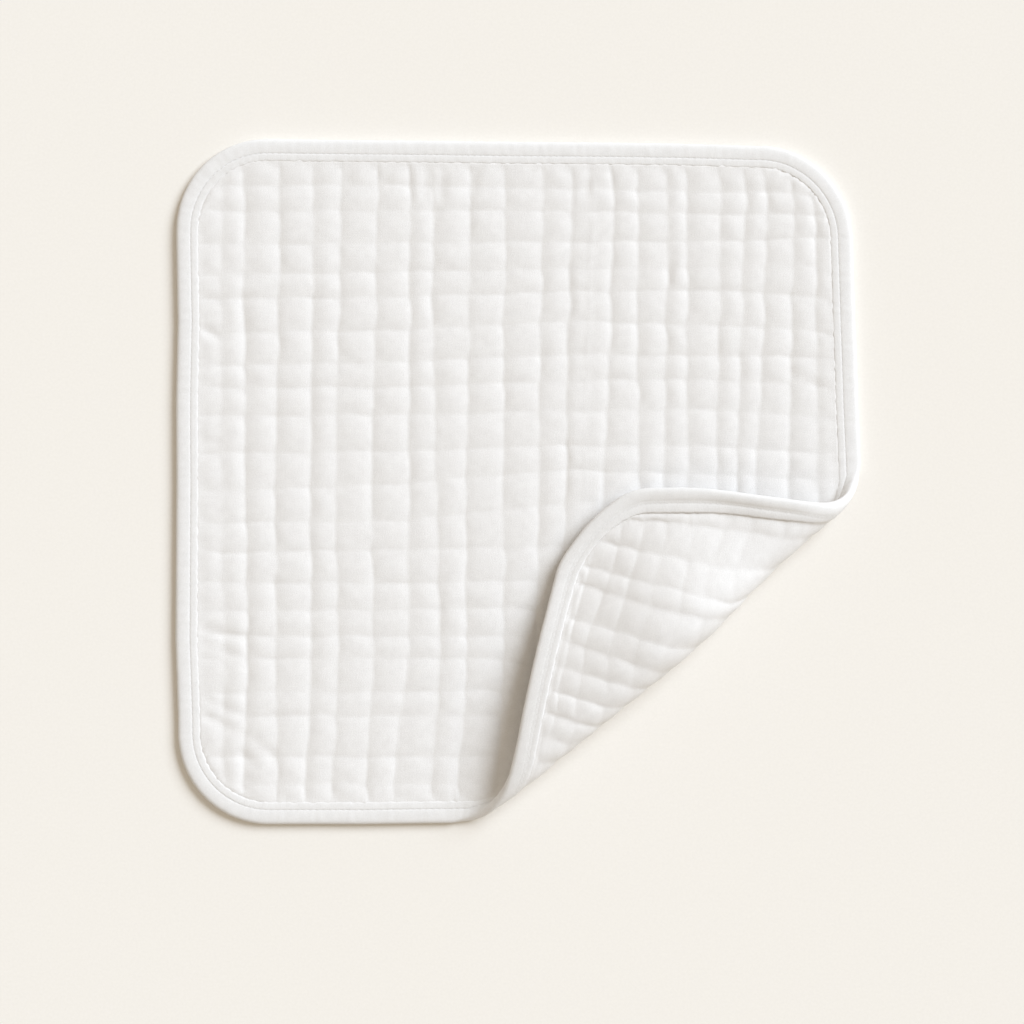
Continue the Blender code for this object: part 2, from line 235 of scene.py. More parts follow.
def heading(run, radius, fall):
    """Direction of the cloth, as an angle, after it has run some way past the lift line."""
    half_turn = math.pi * radius
    turned = math.pi * np.minimum(run / half_turn, 1.0)
    falling = ease((run / half_turn - FALL_FROM) / FALL_OVER)
    settling = 1 - SETTLE_SHARE * ease((run - SETTLE_FROM) / SETTLE_OVER)
    return turned + fall * falling * settling


def lay(points):
    """Lay points of the flat cloth on the surface, or up and over in the fold."""
    x, y, height = points.T.copy()
    inset = inset_of(x, y)
    shift_x, shift_y = unevenness(x, y)
    x += shift_x
    y += shift_y
    along, run = fold_place(x, y)
    laid = np.stack([x, y, height], axis=1)
    bent = run > 0
    along, run, height, inset = along[bent], run[bent], height[bent], inset[bent]
    lift, radius, fall, lip = read_section(along)
    outward = np.zeros_like(run)
    rise = np.zeros_like(run)
    step = run / SECTION_STEPS
    for k in range(SECTION_STEPS):
        angle = heading((k + 0.5) * step, radius, fall)
        outward += step * np.cos(angle)
        rise += step * np.sin(angle)
    angle = heading(run, radius, fall)
    height = height - lip * (1 - ease(inset / LIP_WIDTH)) * ease(run / radius - 1)
    outward += lift - height * np.sin(angle)
    laid[bent, 0] = FOLD_START[0] + along * ALONG[0] + outward * OUTWARD[0]
    laid[bent, 1] = FOLD_START[1] + along * ALONG[1] + outward * OUTWARD[1]
    laid[bent, 2] = rise + height * np.cos(angle)
    return laid


FLAT_TIP = (HALF - 12 * MM, -HALF + 12 * MM, 2 * MM)
corner_tip = lay(np.array([FLAT_TIP]))[0]
print("the turned corner lies at", [round(float(value / MM)) for value in corner_tip], "mm")

# %% [markdown]
# ## Unevenness by hand
# Crinkled gauze has no two puffs alike. A few sines whose lengths don't fit together make a
# wave that never seems to repeat, and a seeded table of random numbers gives every puff its
# own height. Both give the same cloth on each run.

# %% Waves that don't repeat
WAVER_STRETCHES = (1.0, 0.79, 1.37, 2.13)
WAVER_PEAK = 2.4
CRINKLE_WAVES = 7
CRINKLE_PEAK = 3.2


def waver(place, wavelength, seed):
    """Smooth uneven wave along a line, mostly between -1 and 1."""
    total = 0
    for k, stretch in enumerate(WAVER_STRETCHES):
        start = 1.7 * seed + 2.4 * k
        total = total + np.sin(2 * math.pi * place / (wavelength * stretch) + start)
    return total / WAVER_PEAK


def crinkle(x, y, wavelength, seed):
    """Smooth uneven relief over the cloth, mostly between -1 and 1."""
    total = 0
    for k in range(CRINKLE_WAVES):
        angle = 0.9 * k + 0.37 * seed
        place = x * math.cos(angle) + y * math.sin(angle)
        stretch = 0.75 + 0.11 * ((k * 5) % CRINKLE_WAVES)
        total = total + np.sin(2 * math.pi * place / (wavelength * stretch) + 2.1 * k + seed)
    return total / CRINKLE_PEAK


CHANCE_SEED = 11
chance = np.random.default_rng(CHANCE_SEED)
sample = waver(np.linspace(0, SIDE, 300), SIDE / 10, seed=1)
print(f"such a wave goes from {sample.min():.2f} to {sample.max():.2f}")

# %% [markdown]
# ## The muslin: where its channels run
# The layers of gauze are caught together along channels, down and across, and puff up in
# between. A displacement texture would blur those sharp channels, so the mesh is a grid
# whose own lines run along them. The first table says how far from the left edge each
# channel lies at six heights, and the second how far from the top edge at seven distances,
# all in millimetres.

# %% Places of the channels
ACROSS_AT = (22.5, 85.0, 155.0, 222.5, 250.0, 287.0)
CHANNELS_DOWN = (
    # distance from the left edge at each height of ACROSS_AT below the top edge
    (-3.0, -3.0, -3.0, -3.0, -3.0, -3.0),
    (9.6, 9.6, 9.6, 9.6, 9.6, 9.6),
    (19.2, 18.8, 18.8, 20.1, 19.8, 19.2),
    (28.9, 28.9, 29.4, 30.3, 29.7, 28.5),
    (44.8, 43.9, 42.2, 43.0, 43.0, 43.5),
    (59.4, 58.9, 58.0, 58.5, 58.0, 55.0),
    (71.7, 70.4, 69.1, 70.4, 70.0, 66.9),
    (87.6, 86.3, 84.9, 85.8, 85.0, 81.8),
    (101.7, 101.7, 101.3, 101.3, 98.0, 93.8),
    (111.8, 111.8, 113.6, 115.4, 114.0, 111.0),
    (128.6, 127.7, 126.4, 126.8, 125.5, 122.4),
    (144.0, 143.1, 143.1, 143.1, 142.0, 140.1),
    (160.8, 159.0, 158.6, 157.3, 156.5, 155.1),
    (173.6, 171.4, 170.5, 168.5, 169.0, 171.5),
    (182.6, 180.6, 178.6, 177.5, 179.5, 183.0),
    (191.7, 189.9, 186.8, 186.0, 190.0, 194.4),
    (202.2, 201.8, 203.0, 198.0, 201.0, 205.0),
    (215.5, 214.6, 213.7, 208.5, 212.0, 217.0),
    (223.8, 223.8, 224.3, 219.0, 222.8, 228.7),
    (238.8, 238.0, 236.2, 233.5, 236.0, 239.7),
    (249.9, 247.6, 245.4, 248.0, 251.5, 257.2),
    (259.1, 257.4, 253.4, 255.3, 261.2, 266.5),
    (271.0, 269.7, 268.4, 268.3, 273.3, 278.8),
    (280.7, 281.2, 281.2, 283.5, 286.5, 288.0),
    (290.4, 290.4, 290.4, 290.4, 290.4, 290.4),
    (303.0, 303.0, 303.0, 303.0, 303.0, 303.0),
)
DOWN_AT = (22.5, 97.5, 140.0, 175.0, 230.0, 262.0, 285.0)
CHANNELS_ACROSS = (
    # distance from the top edge at each distance of DOWN_AT from the left edge
    (-3.0, -3.0, -3.0, -3.0, -3.0, -3.0, -3.0),
    (9.6, 9.6, 9.6, 9.6, 9.6, 9.6, 9.6),
    (20.1, 20.1, 20.9, 21.6, 22.8, 23.0, 23.2),
    (31.6, 31.1, 31.1, 31.3, 32.5, 32.7, 32.9),
    (46.1, 45.2, 45.0, 44.8, 44.8, 43.7, 42.6),
    (59.4, 58.0, 57.2, 56.6, 56.3, 55.6, 55.0),
    (69.9, 69.1, 67.7, 66.8, 66.0, 67.5, 69.1),
    (84.9, 83.6, 81.2, 79.8, 81.4, 82.7, 84.1),
    (99.1, 97.7, 95.6, 94.3, 95.1, 95.3, 95.5),
    (109.2, 108.8, 107.2, 106.0, 105.2, 107.0, 108.8),
    (121.5, 121.1, 120.0, 119.2, 118.5, 120.2, 122.0),
    (137.9, 137.0, 135.4, 134.4, 134.8, 136.3, 137.9),
    (154.6, 151.5, 147.5, 145.2, 147.1, 148.2, 149.3),
    (168.3, 167.8, 162.8, 159.6, 163.0, 164.0, 165.0),
    (181.5, 180.2, 179.4, 178.9, 184.0, 185.0, 183.0),
    (194.7, 195.2, 194.1, 193.4, 202.0, 204.0, 196.0),
    (207.5, 206.6, 206.1, 208.0, 218.0, 219.0, 211.0),
    (218.1, 218.5, 218.0, 222.0, 234.0, 233.0, 222.5),
    (228.3, 228.3, 228.0, 236.0, 248.5, 243.5, 238.0),
    (243.2, 242.8, 242.2, 250.0, 260.5, 258.5, 251.5),
    (253.4, 253.4, 253.4, 264.0, 271.0, 270.0, 264.0),
    (271.5, 271.5, 271.5, 277.5, 280.7, 279.0, 275.0),
    (283.4, 283.4, 283.4, 287.0, 287.5, 287.8, 288.0),
    (290.4, 290.4, 290.4, 290.4, 290.4, 290.4, 290.4),
    (303.0, 303.0, 303.0, 303.0, 303.0, 303.0, 303.0),
)

# %% Lines of the mesh grid
MESH_SPACING = 1.45 * MM
LEAST_PARTS = 4
CLOSER_AT_CHANNELS = 0.55


def grid_lines(table):
    """For each line of the mesh grid: the puff it crosses and how far through that puff."""
    widths = np.diff([row[1] for row in table]) * MM
    puff, share = [], []
    for number, width in enumerate(widths):
        parts = max(LEAST_PARTS, round(width / MESH_SPACING))
        even = np.arange(parts) / parts
        close = 0.5 - 0.5 * np.cos(math.pi * even)
        puff += [number] * parts
        share += list(even + CLOSER_AT_CHANNELS * (close - even))
    return np.array(puff + [len(widths) - 1]), np.array(share + [1.0])


column_puff, column_share = grid_lines(CHANNELS_DOWN)
row_puff, row_share = grid_lines(CHANNELS_ACROSS)
print("mesh grid:", len(column_puff), "by", len(row_puff), "lines")


# %% How the channels wander
LINE_JITTER = 0.4 * MM
JITTER_LENGTH = 31 * MM
JITTER_SEED = 3.1
BOW_VARIETY = (0.2, 1.8)


def bows(reach, lines, puff, share):
    """How far each channel bows between its crossings, different for each puff."""
    reaches = reach * chance.uniform(*BOW_VARIETY, (lines, len(puff)))
    reaches[:2] = reaches[-2:] = 0
    return reaches[:, puff] * 4 * share * (1 - share)


def channel_place(table, crossed_at, number, at):
    """Place of one channel where it crosses each of the given places, with some jitter."""
    place = np.interp(at / MM, crossed_at, table[number]) * MM
    if 2 <= number < len(table) - 2:
        place = place + LINE_JITTER * waver(at, JITTER_LENGTH, JITTER_SEED * number)
    return place


def line_places(table, crossed_at, bow, puff, share, at):
    """Place of every grid line, between the two channels beside it, where it crosses at."""
    placed = np.zeros_like(at)
    for line, (number, part) in enumerate(zip(puff, share)):
        before, after = (
            channel_place(table, crossed_at, n, at[line]) + bow[n] for n in (number, number + 1)
        )
        placed[line] = before * (1 - part) + after * part
    return placed


# %% Flat places of the mesh grid
COLUMN_BOW = 0.5 * MM
ROW_BOW = -0.3 * MM
CROSSING_ROUNDS = 3
STRAIGHT_FROM_EDGE = 25 * MM
STRAIGHT_BEFORE_FOLD = 40 * MM


def flat_grid():
    """Flat x and y of every grid point: columns along the first axis, rows along the second.

    The tables give places on the cloth as it lies, so the shift that unevenness will add is
    taken off first, but not near the edge or in the fold, where the channels shift with it.
    """
    column_bow = bows(COLUMN_BOW, len(CHANNELS_DOWN), row_puff, row_share)
    row_bow = bows(ROW_BOW, len(CHANNELS_ACROSS), column_puff, column_share)
    rows_nominal = np.interp(
        row_puff + row_share, np.arange(len(CHANNELS_ACROSS)), [row[2] for row in CHANNELS_ACROSS]
    )
    down = np.zeros((len(column_puff), 1)) + rows_nominal * MM
    for _ in range(CROSSING_ROUNDS):
        across = line_places(CHANNELS_DOWN, ACROSS_AT, column_bow, column_puff, column_share, down)
        down = line_places(CHANNELS_ACROSS, DOWN_AT, row_bow, row_puff, row_share, across.T).T
    x = across - HALF
    y = HALF - down
    shift_x, shift_y = unevenness(x, y)
    _, run = fold_place(x.ravel(), y.ravel())
    before_fold = 1 - ease(run / STRAIGHT_BEFORE_FOLD).reshape(x.shape)
    on_front = ease(inset_of(x, y) / STRAIGHT_FROM_EDGE) * before_fold
    return x - shift_x * on_front, y - shift_y * on_front


grid_x, grid_y = flat_grid()
print(f"flat grid {np.ptp(grid_x) / MM:.0f} by {np.ptp(grid_y) / MM:.0f} mm, before trimming")

# %% [markdown]
# ## The muslin: how high its puffs stand
# A puff is a small pillow: low at its four corners, where the channels cross, higher along
# the channels, and highest in the middle. Its height is blended from those nine places, so
# neighbouring puffs meet without a step, and every channel and every pillow gets its own
# depth by chance. A pillow rises steeply from a narrow, slightly rounded valley, so that
# the channels read as sewn creases.

# %% Heights of the puffs
CREST_HEIGHT = 3.85 * MM
COLUMN_CHANNEL_DEPTH = 0.61 * MM
ROW_CHANNEL_DEPTH = 0.39 * MM
CROSSING_SHARE = 0.85
BULGE_START = 3.3 * MM
BULGE_POWERS = (1.7, 4.0)
VALLEY_SOFTNESS = 0.05
DEPTH_VARIETY = (0.65, 1.35)
PUFF_VARIETY = 0.1 * MM
COLUMN_FADES = {
    # number of the channel: share of its depth at each height of ACROSS_AT
    2: (0.6, 0.5, 0.5, 0.8, 0.8, 0.9),
    3: (1.0, 1.4, 1.4, 1.3, 1.2, 1.1),
    14: (0.0, 0.0, 0.0, 0.0, 0.3, 1.0),
}
ROW_FADES = {
    # number of the channel: share of its depth at each distance of DOWN_AT
    5: (0.9, 1.0, 0.8, 0.5, 0.4, 0.5, 0.7),
    22: (0.6, 0.6, 0.6, 0.8, 1.0, 1.0, 1.0),
}


def bulge(puff, share, table):
    """Rise of a pillow between two channels: about as steep for a wide one as for a narrow."""
    widths = np.diff([row[2] for row in table]) * MM
    power = np.clip(widths / (2 * BULGE_START), *BULGE_POWERS)[puff]
    rise = 1 - np.abs(1 - 2 * share) ** power
    return rise * rise * (1 + VALLEY_SOFTNESS) / (rise + VALLEY_SOFTNESS)


def channel_depths(channels, fades, crossed_at, at, depth):
    """Depth of each channel in each puff that it passes, uneven and faded where it fades."""
    # A row is drawn for every line of the mesh grid, and the channels take the first ones.
    drawn = chance.uniform(*DEPTH_VARIETY, (max(len(column_puff), len(row_puff)), len(at)))
    depths = depth * drawn[:channels]
    for number, strengths in fades.items():
        depths[number] *= np.interp(at, crossed_at, strengths)
    return depths


column_at = [row[2] for row in CHANNELS_DOWN]
row_at = [row[2] for row in CHANNELS_ACROSS]
column_depths = channel_depths(
    len(column_at), COLUMN_FADES, ACROSS_AT, row_at, COLUMN_CHANNEL_DEPTH
)
row_depths = channel_depths(len(row_at), ROW_FADES, DOWN_AT, column_at, ROW_CHANNEL_DEPTH)
puff_extra = PUFF_VARIETY * chance.uniform(-1, 1, (len(column_at), len(row_at)))
depth_down, depth_across = column_depths.mean() / MM, row_depths.mean() / MM
print(f"mean depth of the channels: {depth_down:.2f} mm down, {depth_across:.2f} mm across")


# %% Blend the heights over each puff
def puff_heights(column_strength, row_strength):
    """Height of a quilted face at every grid point, before the edge is sewn down."""
    down_depth = column_strength * column_depths
    across_depth = row_strength * row_depths.T
    crossing = CREST_HEIGHT - CROSSING_SHARE * (down_depth + across_depth)
    down_channel = CREST_HEIGHT - down_depth
    across_channel = CREST_HEIGHT - across_depth
    crest = CREST_HEIGHT + puff_extra
    c, r = np.meshgrid(column_puff, row_puff, indexing="ij")
    s, t = np.meshgrid(column_share, row_share, indexing="ij")
    p = bulge(column_puff, column_share, CHANNELS_DOWN)[:, None]
    q = bulge(row_puff, row_share, CHANNELS_ACROSS)[None, :]
    corners = (
        (1 - s) * (1 - t) * crossing[c, r]
        + s * (1 - t) * crossing[c + 1, r]
        + (1 - s) * t * crossing[c, r + 1]
        + s * t * crossing[c + 1, r + 1]
    )
    sides = (1 - s) * down_channel[c, r] + s * down_channel[c + 1, r]
    ends = (1 - t) * across_channel[c, r] + t * across_channel[c, r + 1]
    return (
        (1 - p) * (1 - q) * corners
        + (1 - p) * q * sides
        + p * (1 - q) * ends
        + p * q * crest[c, r]
    )


print("puffs, with those cut by the edge:", (len(column_at) - 1) * (len(row_at) - 1))


# %% Creases that aren't part of the grid
EXTRA_CREASES = (
    # from x, from y, to x, to y in mm from the middle, half width mm, depth mm
    (-141, -64, -118, -70, 1.9, 0.48),
    (-140, -71, -119, -78, 1.9, 0.42),
    (-140, -96, -119, -103, 1.9, 0.48),
    (-139, -103, -118, -113, 1.9, 0.48),
    (-118, -112, -106, -122, 2.2, 0.48),
    (-124, -118, -113, -127, 1.9, 0.36),
    (-141, 18, -129, 17, 1.8, 0.48),
    (-141, 69, -130, 61, 1.8, 0.48),
    (-40, 141, -41, 120, 1.8, 0.54),
    (-32, 141, -33, 120, 1.8, 0.54),
    (-52, 141, -60, 130, 1.9, 0.48),
    (34, 141, 30, 122, 1.9, 0.54),
    (-72, 141, -76, 130, 1.9, 0.36),
    (70, 104, 66, 84, 1.8, 0.42),
    (-16, 141, -20, 126, 1.8, 0.42),
    (118, 50, 136, 42, 1.8, 0.30),
)
CREASE_FADE_IN = 5
CREASE_FADE_OUT = 3


def crease_depth(x, y):
    """How deep the extra creases press into a face at flat points."""
    depth = np.zeros_like(x)
    for row in EXTRA_CREASES:
        from_x, from_y, to_x, to_y, half_width, deep = (value * MM for value in row)
        length = math.hypot(to_x - from_x, to_y - from_y)
        dir_x, dir_y = (to_x - from_x) / length, (to_y - from_y) / length
        along = ((x - from_x) * dir_x + (y - from_y) * dir_y) / length
        aside = (x - from_x) * dir_y - (y - from_y) * dir_x
        fade = ease(along * CREASE_FADE_IN + 0.5) * ease((1 - along) * CREASE_FADE_OUT)
        depth += deep * fade * np.exp(-((aside / half_width) ** 2))
    return depth


print("extra creases:", len(EXTRA_CREASES))

# %% [markdown]
# ## The muslin: its seam and its crinkle
# Where the tape is sewn on, the muslin is pressed flat, and the stitches gather it into
# short puckers square to the edge. Sculpting them by hand would be slow. Here the puckers
# are waves along the outline that fade inwards, and the upper face is lowered to the seam.
# The same quilting shows on the back, where the channels across are fainter.

# %% The seam beside the binding
SEAM_INSET = 8.4 * MM
TAPE_EDGE = 9.75 * MM
UNDER_TAPE_HEIGHT = 2.35 * MM
UNDER_TAPE_FADE = 0.6 * MM
SEAM_HEIGHT = 3.58 * MM
SEAM_FADE = 2.0 * MM
SEAM_LEAD = 0.4 * MM
GATHERED_HEIGHT = 3.62 * MM
GATHER_REACH = 3.5 * MM
PUCKER_LENGTH = 3.4 * MM
PUCKER_HEIGHT = 0.12 * MM
PUCKER_REACH = 9 * MM


def puckers(x, y):
    """Small uneven ripples square to the binding, where the muslin is gathered under it."""
    inset = inset_of(x, y)
    place = outline_place(x, y)
    slow = waver(place, 5 * PUCKER_LENGTH, 2)
    ripple = waver(place + 0.3 * PUCKER_LENGTH * slow, PUCKER_LENGTH, 5) * (0.6 + 0.4 * slow)
    return ripple * ease(1 - (inset - TAPE_EDGE) / PUCKER_REACH)


def sew_down(x, y, height):
    """Lower the upper face to the seam beside the tape, and under it to the hem."""
    inset = inset_of(x, y)
    gathered = 1 - ease((inset - TAPE_EDGE) / GATHER_REACH)
    height = height + (np.maximum(height, GATHERED_HEIGHT) - height) * gathered
    rise = ease((inset - TAPE_EDGE + SEAM_LEAD) / SEAM_FADE)
    sewn = SEAM_HEIGHT + (height - SEAM_HEIGHT) * rise + PUCKER_HEIGHT * puckers(x, y)
    beside = ease((inset - SEAM_INSET) / UNDER_TAPE_FADE)
    return UNDER_TAPE_HEIGHT + (sewn - UNDER_TAPE_HEIGHT) * beside


# %% Both faces with their crinkle
CRINKLE_HEIGHT = 0.035 * MM
CRINKLES = (
    # wavelength mm, seed
    (5.2, 1),
    (11, 4),
)
BACK_COLUMNS = 1.0
BACK_ROWS = 0.65


def crinkled_puffs(column_strength, row_strength):
    """Quilted face with its extra creases and the fine crinkle of the gauze."""
    height = puff_heights(column_strength, row_strength) - crease_depth(grid_x, grid_y)
    for wavelength, seed in CRINKLES:
        height += CRINKLE_HEIGHT * crinkle(grid_x, grid_y, wavelength * MM, seed)
    return height


back_dip = CREST_HEIGHT - crinkled_puffs(BACK_COLUMNS, BACK_ROWS)
grid_height = sew_down(grid_x, grid_y, crinkled_puffs(1, 1))
print(f"upper face {grid_height.min() / MM:.2f} to {grid_height.max() / MM:.2f} mm high")

# %% [markdown]
# ## The muslin as one closed sheet
# The grid is trimmed to the rounded square with straight cuts, as with scissors. Its rim is
# run on into the binding as a hem. A copy, turned over, makes the underside: it has the
# same puffs, which show on the turned corner. The two faces are bridged round the edge.

# %% The upper face as a mesh
def quilted_sheet():
    """The upper face, flat, with the depth of the back's dips noted at each of its points."""
    bm = bmesh.new()
    across, down = len(column_puff) - 1, len(row_puff) - 1
    bmesh.ops.create_grid(bm, x_segments=across, y_segments=down, size=1.0)
    dip = bm.verts.layers.float.new("back dip")
    for vert in bm.verts:
        i = round((vert.co.x + 1) / 2 * across)
        j = round((1 - vert.co.y) / 2 * down)
        vert.co = (grid_x[i, j], grid_y[i, j], grid_height[i, j])
        vert[dip] = back_dip[i, j]
    return bm


bm = quilted_sheet()
print("upper face:", len(bm.faces), "faces before trimming")


# %% Trim it to the outline
CORNER_STEPS = 12


def beyond(bm, corner, outward, least):
    """Faces of the sheet that reach beyond a line, with their edges and points."""
    out_verts = {vert for vert in bm.verts if (vert.co - corner).dot(outward) > least}
    faces = {face for vert in out_verts for face in vert.link_faces}
    edges = {edge for face in faces for edge in face.edges}
    verts = {vert for face in faces for vert in face.verts}
    return list(verts) + list(edges) + list(faces)


def cut_to_outline(bm, inset):
    """Trim the sheet to the rounded square, with one straight cut for each corner step."""
    steps = 4 * CORNER_STEPS
    reach = CORNER_RADIUS - inset
    for k in range(steps):
        angle = 2 * math.pi * k / steps
        outward = Vector((math.cos(angle), math.sin(angle), 0))
        corner = Vector([math.copysign(CORE, value + 1e-6) for value in outward[:2]] + [0])
        bmesh.ops.bisect_plane(
            bm,
            geom=beyond(bm, corner, outward, reach - MESH_SPACING / 4),
            dist=1e-6,
            plane_co=corner + outward * reach,
            plane_no=outward,
            clear_outer=True,
        )


cut_to_outline(bm, SEAM_INSET)
print("upper face:", len(bm.faces), "faces after trimming")


# %% Run it on into the binding
RIM_MERGE = 0.5 * MM
HEM_INSETS = (7.8 * MM, 5.8 * MM, 2.0 * MM)
HEM_TOP = 2.3 * MM


def add_hem(bm):
    """Run the muslin on into the binding, in rings that follow the cut edge."""
    for inset in HEM_INSETS:
        rim = [edge for edge in bm.edges if edge.is_boundary]
        made = bmesh.ops.extrude_edge_only(bm, edges=rim)["geom"]
        for vert in (item for item in made if isinstance(item, bmesh.types.BMVert)):
            core_x, core_y, out_x, out_y, _ = (float(v) for v in edge_frame(*vert.co.xy))
            reach = CORNER_RADIUS - inset
            vert.co = (core_x + out_x * reach, core_y + out_y * reach, HEM_TOP)


rim_verts = {vert for edge in bm.edges if edge.is_boundary for vert in edge.verts}
bmesh.ops.remove_doubles(bm, verts=list(rim_verts), dist=RIM_MERGE)
add_hem(bm)
print("hem rings:", len(HEM_INSETS))


# %% Line it with its underside
HEM_BOTTOM = 1.5 * MM
BACK_TAPE_EDGE = 8.6 * MM
BACK_SEAM_DEPTH = 0.18 * MM
BACK_SEAM_FADE = 1.8 * MM
BACK_PUCKER_FADE = 20 * MM
ROLL_RELIEF = 0.85  # share of the dips' depth where the cloth is stretched over the roll
ROLL_LENGTH = 22 * MM
ROLL_BLEND = 8 * MM


def add_underside(bm):
    """Copy the sheet for the lower face, turn it over and close the wall round the edge."""
    rim = [edge for edge in bm.edges if edge.is_boundary]
    copied = bmesh.ops.duplicate(bm, geom=bm.verts[:] + bm.edges[:] + bm.faces[:])["geom"]
    faces = [item for item in copied if isinstance(item, bmesh.types.BMFace)]
    edges = [item for item in copied if isinstance(item, bmesh.types.BMEdge)]
    verts = [item for item in copied if isinstance(item, bmesh.types.BMVert)]
    lower_rim = [edge for edge in edges if edge.is_boundary]
    layer = bm.verts.layers.float["back dip"]
    flat = np.array([vert.co for vert in verts])
    dip = np.array([vert[layer] for vert in verts])
    inset = inset_of(flat[:, 0], flat[:, 1])
    _, run = fold_place(flat[:, 0], flat[:, 1])
    in_roll = ease(run / ROLL_BLEND) * (1 - ease((run - ROLL_LENGTH) / ROLL_BLEND))
    dip *= 1 - (1 - ROLL_RELIEF) * in_roll
    beside = ease((inset - BACK_TAPE_EDGE) / BACK_SEAM_FADE)
    under = BACK_SEAM_DEPTH + (dip - BACK_SEAM_DEPTH) * beside
    under += PUCKER_HEIGHT * puckers(flat[:, 0], flat[:, 1]) * ease(run / BACK_PUCKER_FADE)
    under = np.maximum(under, 0)
    under[inset < (SEAM_INSET + HEM_INSETS[0]) / 2] = HEM_BOTTOM
    for vert, height in zip(verts, under):
        vert.co.z = height
    bmesh.ops.reverse_faces(bm, faces=faces)
    bmesh.ops.bridge_loops(bm, edges=rim + lower_rim)


add_underside(bm)
print("open edges left:", sum(edge.is_boundary for edge in bm.edges))


# %% Lay a piece and set it in place
def note_flat_places(bm):
    """Keep each point's flat place, in metres, as the UV map that the weave follows."""
    flat_map = bm.loops.layers.uv.new("flat")
    for face in bm.faces:
        for loop in face.loops:
            loop[flat_map].uv = loop.vert.co.xy


def finish_piece(bm, name):
    """Lay the flat piece, give it an object and set it on the CAD model's body."""
    verts = bm.verts[:]
    for vert, place in zip(verts, lay(np.array([vert.co for vert in verts]))):
        vert.co = place
    bmesh.ops.recalc_face_normals(bm, faces=bm.faces[:])
    for face in bm.faces:
        face.smooth = True
    mesh = bpy.data.meshes.new(name)
    bm.to_mesh(mesh)
    bm.free()
    piece = bpy.data.objects.new(name, mesh)
    bpy.context.scene.collection.objects.link(piece)
    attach(piece, "root")
    triangles = sum(len(face.vertices) - 2 for face in mesh.polygons)
    print(name, triangles, "triangles")
    return piece


note_flat_places(bm)
muslin = finish_piece(bm, "quilted_muslin")
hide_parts("panel")

# %% [markdown]
# ## The binding
# A cotton tape is folded over the raw edge and sewn through near its inner edge. A swept
# curve would be quick, but it can't pull in at every stitch. So one section of the tape is
# swept round the outline as a ring of mesh, and each ring point moves a little: the groove
# deepens at every needle hole, and the tape's inner edge and upper face pucker unevenly.

# %% Section of the tape
STITCH_COUNT = 404
STITCH_PITCH = OUTLINE_LENGTH / STITCH_COUNT
RINGS_PER_STITCH = 3
TAPE_SECTION = (
    # inset mm, height mm, share of the stitch dip, share of the puckers, bulge on the flap mm
    (9.50, 3.10, 0.0, 0.6, 0.0),
    (9.78, 3.36, 0.0, 1.0, 0.0),
    (9.76, 3.54, 0.0, 1.0, 0.0),
    (9.50, 3.68, 0.0, 1.0, 0.0),
    (9.05, 3.77, 0.0, 0.8, 0.0),
    (8.30, 3.82, 0.0, 0.6, 0.0),
    (7.30, 3.84, 0.0, 0.5, 0.0),
    (6.80, 3.81, 0.0, 0.3, 0.0),
    (6.58, 3.76, 0.2, 0.2, 0.0),
    (6.40, 3.66, 1.0, 0.1, 0.0),
    (6.22, 3.76, 0.2, 0.2, 0.0),
    (5.98, 3.81, 0.0, 0.4, 0.0),
    (5.40, 3.88, 0.0, 0.7, 0.0),
    (4.20, 3.94, 0.0, 1.0, 0.0),
    (2.90, 3.93, 0.0, 1.0, 0.0),
    (1.80, 3.84, 0.0, 0.8, 0.0),
    (0.95, 3.64, 0.0, 0.5, 0.0),
    (0.35, 3.24, 0.0, 0.3, 0.0),
    (0.06, 2.60, 0.0, 0.3, 0.0),
    (0.06, 1.50, 0.0, 0.3, 0.0),
    (0.30, 0.75, 0.0, 0.3, 0.05),
    (0.85, 0.25, 0.0, 0.2, 0.25),
    (1.70, 0.04, 0.0, 0.0, 0.42),
    (3.00, 0.00, 0.0, 0.0, 0.5),
    (4.20, 0.00, 0.0, 0.0, 0.42),
    (4.90, 0.02, 0.0, 0.0, 0.24),
    (5.10, 0.03, -0.4, 0.0, 0.18),
    (5.30, 0.02, 0.0, 0.0, 0.12),
    (5.90, 0.02, 0.0, 0.0, 0.02),
    (6.10, 0.03, -0.4, 0.0, 0.0),
    (6.40, 0.02, 0.0, 0.0, 0.1),
    (7.00, 0.00, 0.0, 0.0, 0.26),
    (7.80, 0.02, 0.0, 0.3, 0.26),
    (8.30, 0.08, 0.0, 0.6, 0.18),
    (8.60, 0.25, 0.0, 0.4, 0.05),
    (8.00, 0.60, 0.0, 0.0, 0.0),
    (5.50, 0.80, 0.0, 0.0, 0.0),
    (1.60, 1.10, 0.0, 0.0, 0.0),
    (1.20, 1.90, 0.0, 0.0, 0.0),
    (1.60, 2.75, 0.0, 0.0, 0.0),
    (5.50, 2.85, 0.0, 0.0, 0.0),
)
print(f"{STITCH_COUNT} stitches, one each {STITCH_PITCH / MM:.2f} mm")

# %% Needle holes and puckers in it
HOLE_DIP = 0.13 * MM
TAPE_PUCKER = 0.05 * MM
TAPE_PUCKER_LENGTH = 4.3 * MM


def tape_height(place, section_row, on_flap):
    """Height of one line of the tape's section at places along the outline."""
    _, height, dip, pucker, flap_bulge = section_row
    at_hole = 0.5 + 0.5 * np.cos(2 * math.pi * place / STITCH_PITCH)
    gather = waver(place, TAPE_PUCKER_LENGTH, 3) + 0.6 * waver(place, 3.1 * TAPE_PUCKER_LENGTH, 8)
    return (
        height * MM
        - HOLE_DIP * dip * at_hole
        + TAPE_PUCKER * pucker * gather
        - flap_bulge * MM * on_flap
    )


